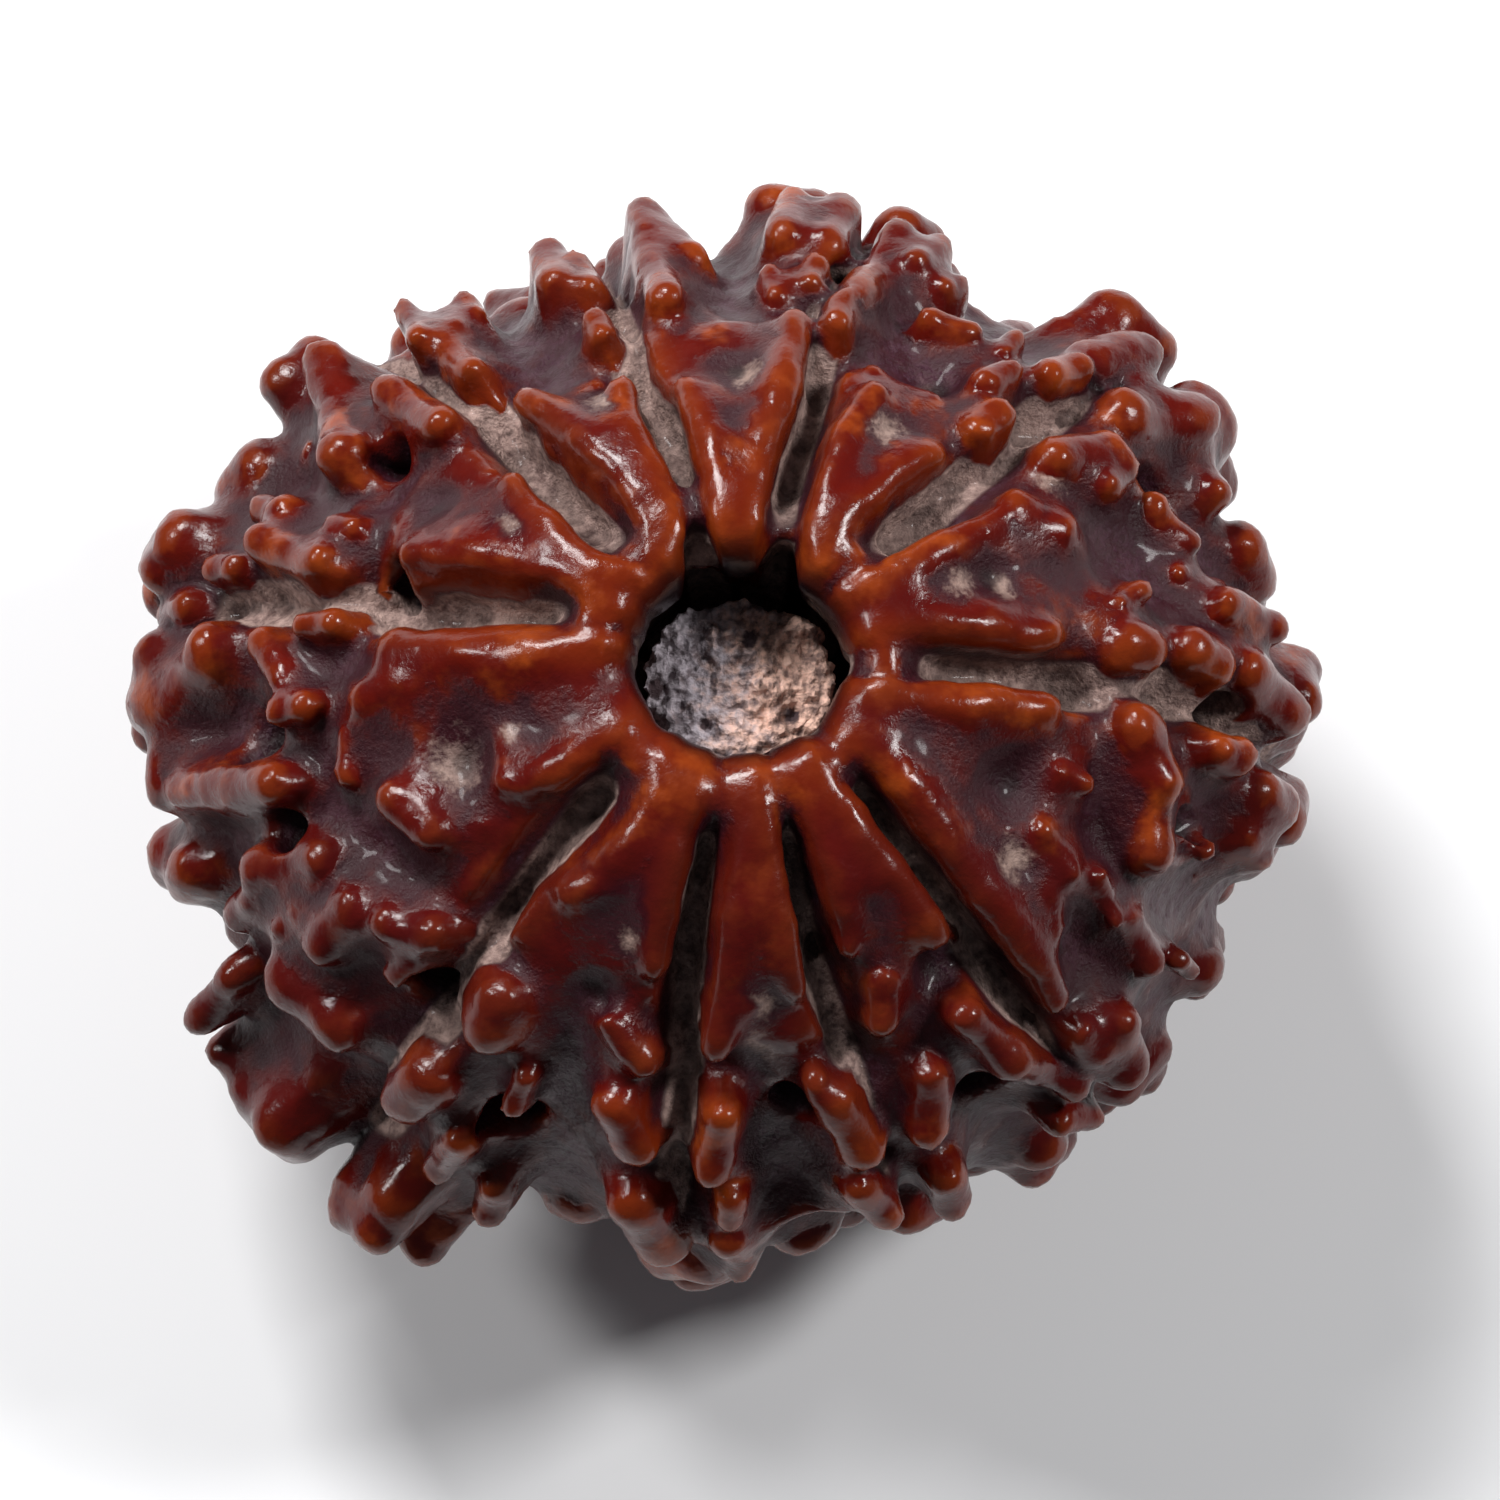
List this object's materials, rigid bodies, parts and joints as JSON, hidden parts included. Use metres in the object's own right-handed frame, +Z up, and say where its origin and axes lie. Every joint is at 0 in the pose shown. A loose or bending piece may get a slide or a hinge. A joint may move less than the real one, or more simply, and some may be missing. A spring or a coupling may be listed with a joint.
{
  "type": "ten mukhi rudraksha bead",
  "caption": "Dried woody fruit stone used as a prayer bead: squat, deeply cleft and knobbed, with ribs that roll into a canal plugged with rough pith.",
  "frame": {"origin": "middle of the flat spot that the bead rests on, under the centre of its box", "axes": "+Z up along the canal, from the blossom end to the stalk end; +X along the bead's widest extent, to the right in the picture; +Y away from the picture's camera"},
  "size_m": [0.0263, 0.0244, 0.0187],
  "materials": {
    "stone": "oiled and glossy, red-brown on the ribs and knobs, dull taupe dust in the clefts",
    "pith": "dry, rough and gritty, grey to pink"
  },
  "bodies": {
    "root": {"stone": "stone", "pith": "pith"}
  },
  "joints": []
}
